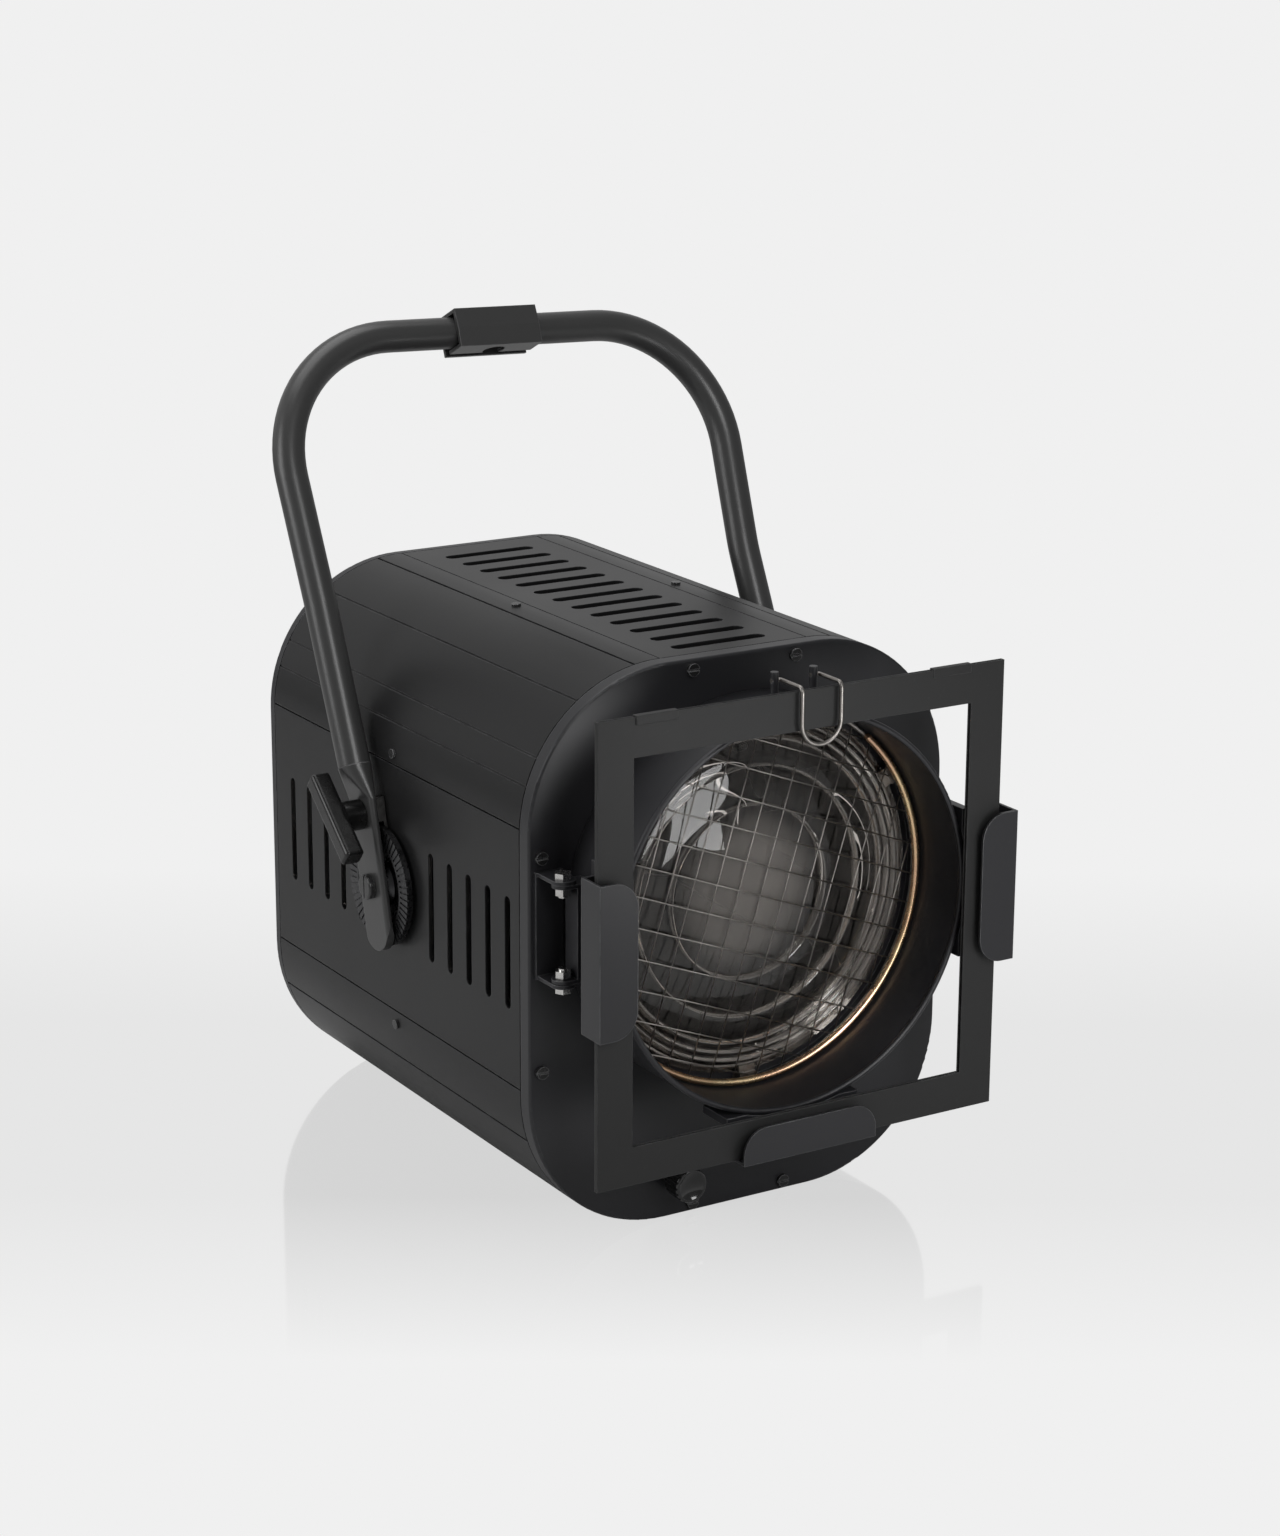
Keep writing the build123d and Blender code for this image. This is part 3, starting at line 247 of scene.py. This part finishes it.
def heated_steel(name):
    """Spring steel coloured by the lamp's heat."""
    n = Nodes(name)
    n.drive(n.ramp(n.noise(16, 3, 0.6), HEAT_TINTS), "Base Color")
    n.drive(n.remap(n.noise(60, 3), 0.22, 0.30), "Roughness")
    n.shader.inputs["Metallic"].default_value = 1.0
    return n.material


def lens_dust_and_painted_light(n):
    """Share of clear glass over the lens: a middle hazed partly by dust and partly as a painted pale glow of
    the lamp and mirror behind it, and a painted highlight line along each step.
    """
    place = n.vector("SUBTRACT", n.place, OPTIC).outputs[0]
    flat = n.vector("MULTIPLY", place, (PER_TENTH_METRE, 0, PER_TENTH_METRE)).outputs[0]
    radius = n.add("ShaderNodeVectorMath", operation="LENGTH")
    n.link(flat, radius.inputs[0])
    # less clear glass shows pale: painted glow in the middle, painted highlight lines along the steps
    stops = [(place, grey(clear)) for place, clear in LENS_MIDDLE]
    for step in LENS_STEPS[::-1]:
        stops += [(step / 100 + offset, grey(clear)) for offset, clear in STEP_HIGHLIGHT]
    patch = n.remap(n.noise(22, 5, 0.65), 0.99, 1.03)
    return n.times(n.ramp(radius.outputs["Value"], stops), patch, clamp=True)


def glass(name, tint, rough, ior, clear=None):
    """Clear glass; clear is a function that says where it lets less light through."""
    n = Nodes(name)
    n.shader.inputs["Transmission Weight"].default_value = 1.0
    if clear:
        n.drive(clear(n), "Transmission Weight")
    n.shader.inputs["IOR"].default_value = ior
    haze = n.noise(30, 4, 0.6)
    n.drive(n.mix(haze, tuple(channel * 0.97 for channel in tint), tint), "Base Color")
    n.drive(n.remap(haze, rough, rough + 0.03), "Roughness")
    return n.material


def moulded(name, shade, rough, grain=0.25, coat=0.0):
    """Moulded black plastic; coat is the share of it under a gloss skin."""
    n = Nodes(name)
    n.drive(n.mix(n.noise(35, 3), grey(shade * 0.8), grey(shade * 1.25)), "Base Color")
    n.drive(n.remap(n.noise(120, 4), rough - 0.05, rough + 0.08), "Roughness")
    n.drive(n.bump(n.noise(1500, 2), grain, 0.00008), "Normal")
    n.shader.inputs["Coat Weight"].default_value = coat
    return n.material


def ceramic(name):
    """Unglazed white ceramic, slightly stained."""
    n = Nodes(name)
    cloud = n.noise(60, 4)
    n.drive(n.mix(cloud, (0.70, 0.67, 0.60), (0.84, 0.82, 0.76)), "Base Color")
    n.drive(n.remap(cloud, 0.5, 0.75), "Roughness")
    n.drive(n.bump(n.noise(900, 3), 0.3, 0.0001), "Normal")
    return n.material


SLOT_MATERIALS = {
    "body_black": powder_coat("body_black", 0.012, 0.34, 0.27, 0.12, tint=(1.0, 1.0, 1.04)),
    "plate_black": powder_coat("plate_black", 0.020, 0.36, 0.42, 0.30, tint=(1.0, 1.0, 1.12)),
    "frame_black": powder_coat("frame_black", 0.024, 0.50, 0.24, 0.10, cloud=0.03),
    "yoke_black": powder_coat("yoke_black", 0.042, 0.32, 0.55, 0.25),
    "screw_black": powder_coat("screw_black", 0.016, 0.26, 0.6, 0.5),
    "plain_steel": steel("plain_steel", (0.12, 0.118, 0.115), 0.38),
    "zinc_steel": steel("zinc_steel", (0.075, 0.075, 0.078), 0.30),
    "bright_steel": steel("bright_steel", (0.78, 0.77, 0.75), 0.22),
    "wire_steel": steel("wire_steel", (0.34, 0.32, 0.30), 0.34),
    "heated_steel": heated_steel("heated_steel"),
    "handle_black": moulded("handle_black", 0.004, 0.24),
    "knob_black": moulded("knob_black", 0.008, 0.12, grain=0.05, coat=0.6),
    "gland_black": moulded("gland_black", 0.020, 0.45),
    "lens_glass": glass("lens_glass", (0.94, 0.88, 0.82), 0.0, 1.47, clear=lens_dust_and_painted_light),
    "quartz": glass("quartz", (0.99, 0.99, 0.99), 0.02, 1.45),
    "ceramic": ceramic("ceramic"),
    "mirror_metal": steel("mirror_metal", (0.72, 0.64, 0.56), 0.16, scratch=0.1),
    "brass": steel("brass", (0.78, 0.58, 0.26), 0.3),
}

for part in frame["record"]["subparts"]:
    mesh = frame["nodes"][part["node"]].data
    mesh.materials.clear()
    mesh.materials.append(SLOT_MATERIALS[part["material_slot"]])


# ---------------------------------------------------------------- lens and guard, finer than the frame's own
def stand_in(name, node, body, slot, mesh):
    """A finer mesh shown in place of one CAD node."""
    piece = bpy.data.objects.new(name, mesh)
    bpy.context.scene.collection.objects.link(piece)
    mesh.materials.append(SLOT_MATERIALS[slot])
    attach(piece, body)
    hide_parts(node)


def turns(count):
    """Angles of count points evenly round a circle."""
    return [2 * math.pi * i / count for i in range(count)]


def finished_mesh(build, name, sharp=None):
    """Mesh of a closed shape, facing outwards, with its edges sharp where they turn more than sharp."""
    bmesh.ops.recalc_face_normals(build, faces=build.faces)
    if sharp:
        for edge in build.edges:
            edge.smooth = edge.calc_face_angle(0.0) < sharp
    mesh = bpy.data.meshes.new(name)
    build.to_mesh(mesh)
    build.free()
    return mesh


def lathe(name, profile):
    """Closed solid turned about the optic; profile is (radius, y) in mm, from the axis to the axis."""
    build = bmesh.new()
    rings = []
    for radius, y in profile:
        around = turns(LATHE_PARTS) if radius else [0.0]
        points = [OPTIC + MM * Vector((radius * math.cos(t), y, radius * math.sin(t))) for t in around]
        rings.append([build.verts.new(point) for point in points])
    for first, second in zip(rings, rings[1:]):
        for i in range(LATHE_PARTS):
            j = (i + 1) % LATHE_PARTS
            near = [first[i % len(first)], first[j % len(first)]]
            far = [second[j % len(second)], second[i % len(second)]]
            build.faces.new(list(dict.fromkeys(near + far))).smooth = True
    return finished_mesh(build, name, SHARP_ANGLE)


def lens_profile():
    """Flat back; a front of rounded prisms that fall away to each step, round a domed middle."""
    back = LENS_HIGH.y / MM
    edge = back - LENS_EDGE
    profile = [(0, back), (LENS_RIM, back), (LENS_RIM, edge)]
    for outer, inner in zip(LENS_STEPS, LENS_STEPS[1:] + (0.0,)):
        crest = inner + STEP_LEAN if inner else 0.0
        for i in range(PRISM_PARTS + 1):
            share = i / PRISM_PARTS
            bulge = math.sin(share * math.pi / 2)
            profile.append((outer + (crest - outer) * share, edge - PRISM_RISE * bulge))
        if inner:
            profile.append((inner + STEP_ROUND, edge - PRISM_RISE + STEP_ROUND))
    return profile


def straight_wire(build, start, end):
    """Straight round wire with closed ends."""
    along = (end - start).normalized()
    side = along.cross(Vector((0, 1, 0))).normalized()
    up = along.cross(side)
    loops = []
    for point in (start, end):
        rim = [point + GRID_WIRE * (side * math.cos(t) + up * math.sin(t)) for t in turns(WIRE_SIDES)]
        loops.append([build.verts.new(corner) for corner in rim])
    for i in range(WIRE_SIDES):
        j = (i + 1) % WIRE_SIDES
        build.faces.new((loops[0][i], loops[0][j], loops[1][j], loops[1][i])).smooth = True
    build.faces.new(loops[0][::-1])
    build.faces.new(loops[1])


def wire_row(build, middle, radius, pitch, shift, turn, side):
    """Parallel wires across a circle, on one side of its plane."""
    angle = math.radians(turn)
    across = Vector((math.cos(angle), 0, -math.sin(angle)))
    along = Vector((math.sin(angle), 0, math.cos(angle)))
    depth = Vector((0, side * GRID_WIRE * GRID_LAP, 0))
    count = int((radius - GRID_MARGIN) / pitch)
    for i in range(-count, count + 1):
        offset = i * pitch + shift
        half = math.sqrt(radius ** 2 - offset ** 2) - GRID_END
        centre = middle + across * offset + depth
        straight_wire(build, centre - along * half, centre + along * half)


def rolled_rim(build, middle, radius):
    """Ring of round wire."""
    loops = []
    for t in turns(RIM_PARTS):
        out = Vector((math.cos(t), 0, math.sin(t)))
        centre = middle + out * radius
        section = [centre + RIM_WIRE * (out * math.cos(a) + Vector((0, math.sin(a), 0)))
                   for a in turns(RIM_SIDES)]
        loops.append([build.verts.new(corner) for corner in section])
    for first, second in zip(loops, loops[1:] + loops[:1]):
        for k in range(RIM_SIDES):
            m = (k + 1) % RIM_SIDES
            build.faces.new((first[k], first[m], second[m], second[k])).smooth = True


def guard_mesh(name):
    """Grid of thin wires welded where they cross, held in a rolled rim."""
    low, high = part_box("wire_guard")
    radius = (high.x - low.x) / 2
    middle = (low + high) / 2
    build = bmesh.new()
    for row in (GUARD_ROWS, GUARD_COLUMNS):
        wire_row(build, middle, radius, *row)
    rolled_rim(build, middle, radius - RIM_INSET)
    return finished_mesh(build, name)


stand_in("lens_turned", "fresnel_lens", "lens_door", "lens_glass", lathe("lens_turned", lens_profile()))
stand_in("guard_grid", "wire_guard", "lens_door", "wire_steel", guard_mesh("guard_grid"))


# ---------------------------------------------------------------- stage, lights and camera
PAPER = 0.8714                       # brightness of the plain backdrop
BOUNCE = ((0.66, 0.66, 0.66), (0.68, 0.68, 0.68))       # how much of the light the paper sends back
FLOOR_REACH = 40.0
FLOOR_DROP = 0.0002                  # the floor lies this far under the fixture
SHEEN = 0.25                         # how much the paper mirrors where the fixture stands
SHEEN_WAY = (0.522, 0.853, 0)        # the mirroring comes and goes along this line on the floor
SHEEN_START = (-0.325, -0.125)
SHEEN_END = (0.15, 0.45)
WORLD_FADE = (0.15, 0.62)            # where the light from the surroundings turns from near to far
NEAR_LIGHT, FAR_LIGHT = 0.19, 0.55

# name, place, what it points at, width, height, watts
SOFT_LIGHTS = (
    ("overhead_softbox", (-0.1, 0.3, 1.7), (0, 0, 0.2), 1.2, 1.2, 10),
    ("left_softbox", (-1.7, 0.3, 0.9), (0, 0, 0.2), 0.7, 1.1, 9),
    ("front_softbox", (-0.3, -2.2, 1.5), (0, 0, 0.2), 0.8, 0.8, 16),
    ("lens_card", (0.0935, -0.50, 0.207), (0.0935, 0, 0.207), 0.13, 0.15, 0.38),
)

SENSOR_WIDTH = 36                    # mm
FOCAL_LENGTH = 81.1                  # mm
EYE = (-0.9477, -1.5958, 0.7432)
YAW, PITCH, ROLL = math.radians(-31.48), math.radians(16.17), math.radians(0.27)


def soft_light(name, place, target, width, height, power):
    data = bpy.data.lights.new(name, "AREA")
    data.shape = "RECTANGLE"
    data.size = width
    data.size_y = height
    data.energy = power
    light = bpy.data.objects.new(name, data)
    light.location = place
    light.rotation_euler = (Vector(target) - Vector(place)).to_track_quat("-Z", "Y").to_euler()
    bpy.context.scene.collection.objects.link(light)


def view_switch(tree, seen, lit):
    """One shader where the camera looks straight at it, another for the light it gives."""
    switch = tree.nodes.new("ShaderNodeMixShader")
    tree.links.new(tree.nodes.new("ShaderNodeLightPath").outputs["Is Camera Ray"], switch.inputs[0])
    tree.links.new(lit, switch.inputs[1])
    tree.links.new(seen, switch.inputs[2])
    return switch.outputs[0]


def paper():
    """Pale backdrop paper: the camera sees an even tone with a faint mirroring, the fixture a matt floor."""
    n = Nodes("studio_paper")
    glow = n.add("ShaderNodeEmission")
    glow.inputs["Color"].default_value = (PAPER, PAPER, PAPER, 1)
    sheen = n.add("ShaderNodeBsdfGlossy")
    sheen.inputs["Color"].default_value = (1, 1, 1, 1)
    n.link(n.remap(n.noise(3, 2), 0.05, 0.07), sheen.inputs["Roughness"])
    along = n.vector("DOT_PRODUCT", n.place, SHEEN_WAY).outputs["Value"]
    coming = n.remap(along, 0.0, SHEEN, *SHEEN_START)
    going = n.remap(along, 1.0, 0.0, *SHEEN_END)
    seen = n.add("ShaderNodeMixShader")
    n.link(n.times(coming, going), seen.inputs[0])
    n.link(glow.outputs[0], seen.inputs[1])
    n.link(sheen.outputs[0], seen.inputs[2])
    lit = n.add("ShaderNodeBsdfDiffuse")
    n.link(n.mix(n.noise(3, 2), *BOUNCE), lit.inputs["Color"])
    output = n.tree.nodes["Material Output"]
    n.link(view_switch(n.tree, seen.outputs[0], lit.outputs[0]), output.inputs["Surface"])
    return n.material


def floor():
    """One wide sheet of the paper under the fixture."""
    mesh = bpy.data.meshes.new("studio_floor")
    build = bmesh.new()
    signs = ((-1, -1), (1, -1), (1, 1), (-1, 1))
    build.faces.new([build.verts.new((x * FLOOR_REACH, y * FLOOR_REACH, 0)) for x, y in signs])
    build.to_mesh(mesh)
    build.free()
    sheet = bpy.data.objects.new("studio_floor", mesh)
    sheet.location.z = CAD_BOX[0][2] - FLOOR_DROP
    bpy.context.scene.collection.objects.link(sheet)
    mesh.materials.append(paper())


def surroundings():
    """Plain pale backdrop; for the light it gives, the far side is bright and the near side dark."""
    world = bpy.data.worlds.new("studio_world")
    world.use_nodes = True
    tree = world.node_tree
    seen = tree.nodes["Background"]
    seen.inputs["Color"].default_value = (PAPER, PAPER, PAPER, 1)
    split = tree.nodes.new("ShaderNodeSeparateXYZ")
    tree.links.new(tree.nodes.new("ShaderNodeTexCoord").outputs["Generated"], split.inputs[0])
    fade = tree.nodes.new("ShaderNodeMapRange")
    names = ("From Min", "From Max", "To Min", "To Max")
    for name, value in zip(names, (*WORLD_FADE, NEAR_LIGHT, FAR_LIGHT)):
        fade.inputs[name].default_value = value
    tree.links.new(split.outputs["Y"], fade.inputs["Value"])
    lit = tree.nodes.new("ShaderNodeBackground")
    tree.links.new(fade.outputs["Result"], lit.inputs["Color"])
    output = tree.nodes["World Output"]
    tree.links.new(view_switch(tree, seen.outputs[0], lit.outputs[0]), output.inputs["Surface"])
    bpy.context.scene.world = world


def camera():
    data = bpy.data.cameras.new("photo_camera")
    data.sensor_width = SENSOR_WIDTH
    data.lens = FOCAL_LENGTH
    eye = bpy.data.objects.new("photo_camera", data)
    look = Matrix.Rotation(YAW, 4, "Z") @ Matrix.Rotation(math.pi / 2 - PITCH, 4, "X")
    eye.matrix_world = Matrix.Translation(EYE) @ look @ Matrix.Rotation(ROLL, 4, "Z")
    bpy.context.scene.collection.objects.link(eye)
    bpy.context.scene.camera = eye


floor()
surroundings()
for light in SOFT_LIGHTS:
    soft_light(*light)
camera()
bpy.context.scene.view_settings.view_transform = "Standard"
